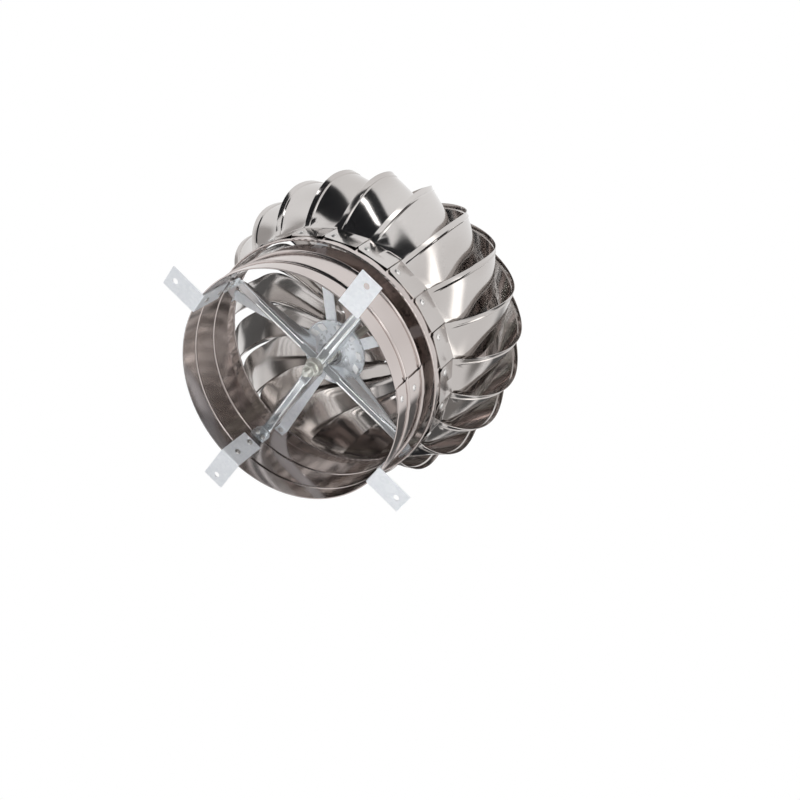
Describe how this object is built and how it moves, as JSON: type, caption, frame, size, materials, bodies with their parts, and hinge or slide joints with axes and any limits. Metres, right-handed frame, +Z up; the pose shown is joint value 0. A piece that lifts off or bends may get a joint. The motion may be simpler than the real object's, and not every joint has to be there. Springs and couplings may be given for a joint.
{
  "type": "roof turbine ventilator",
  "caption": "Wind-driven roof ventilator: a globe of curved vanes turns on ball bearings above a short duct collar with drilled mounting tabs.",
  "frame": {"origin": "on the rotor's axis, in the plane that the mounting tabs rest on", "axes": "+Z up along the rotor's axis, +X and +Y each along a mounting tab"},
  "size_m": [0.4174, 0.4214, 0.3715],
  "materials": {
    "stainless_sheet": "polished",
    "galvanised_steel": "matte",
    "zinc_plated_steel": "satin",
    "bearing_steel": "polished",
    "rivet_metal": "satin"
  },
  "bodies": {
    "base": {"collar_tube": "stainless_sheet", "collar_seam_rivets": "rivet_metal", "mounting_tab_1": "galvanised_steel", "mounting_tab_2": "galvanised_steel", "mounting_tab_3": "galvanised_steel", "mounting_tab_4": "galvanised_steel", "mounting_tab_rivets": "rivet_metal", "crossbar_upper": "galvanised_steel", "crossbar_lower": "galvanised_steel", "crossbar_rivets": "rivet_metal", "spindle": "zinc_plated_steel", "spindle_end_nut": "zinc_plated_steel", "cup_washer": "zinc_plated_steel", "spindle_lock_nut": "zinc_plated_steel", "crossbar_spacer": "zinc_plated_steel", "spacer_sleeve": "zinc_plated_steel", "thrust_collar": "zinc_plated_steel", "lower_bearing_inner_race": "bearing_steel", "upper_bearing_inner_race": "bearing_steel"},
    "rotor": {"rotor_ring": "stainless_sheet", "spider_disc": "galvanised_steel", "spider_strut_1": "galvanised_steel", "spider_strut_2": "galvanised_steel", "spider_strut_3": "galvanised_steel", "spider_strut_4": "galvanised_steel", "spider_strut_5": "galvanised_steel", "spider_rivets": "rivet_metal", "vane_01": "stainless_sheet", "vane_02": "stainless_sheet", "vane_03": "stainless_sheet", "vane_04": "stainless_sheet", "vane_05": "stainless_sheet", "vane_06": "stainless_sheet", "vane_07": "stainless_sheet", "vane_08": "stainless_sheet", "vane_09": "stainless_sheet", "vane_10": "stainless_sheet", "vane_11": "stainless_sheet", "vane_12": "stainless_sheet", "vane_13": "stainless_sheet", "vane_14": "stainless_sheet", "vane_15": "stainless_sheet", "vane_16": "stainless_sheet", "vane_17": "stainless_sheet", "vane_18": "stainless_sheet", "vane_19": "stainless_sheet", "vane_20": "stainless_sheet", "vane_21": "stainless_sheet", "vane_22": "stainless_sheet", "vane_foot_rivets": "rivet_metal", "cap_dome": "stainless_sheet", "cap_clamp_ring": "stainless_sheet", "cap_rivets": "rivet_metal", "upper_bearing_housing": "galvanised_steel", "housing_screws": "zinc_plated_steel", "lower_bearing_outer_race": "bearing_steel", "upper_bearing_outer_race": "bearing_steel"},
    "lower_ball_set": {"lower_bearing_balls": "bearing_steel"},
    "upper_ball_set": {"upper_bearing_balls": "bearing_steel"}
  },
  "joints": [
    {"name": "rotor_spin", "type": "hinge", "parent": "base", "child": "rotor", "pos_m": [0, 0, 0.1175], "axis": [0, 0, 1], "continuous": true},
    {"name": "lower_balls_orbit", "type": "hinge", "parent": "base", "child": "lower_ball_set", "pos_m": [0, 0, 0.1175], "axis": [0, 0, 1], "continuous": true},
    {"name": "upper_balls_orbit", "type": "hinge", "parent": "base", "child": "upper_ball_set", "pos_m": [0, 0, 0.3575], "axis": [0, 0, 1], "continuous": true}
  ],
  "couplings": [
    {"joint": "lower_balls_orbit", "follows": "rotor_spin", "ratio": 0.619},
    {"joint": "upper_balls_orbit", "follows": "rotor_spin", "ratio": 0.619}
  ]
}
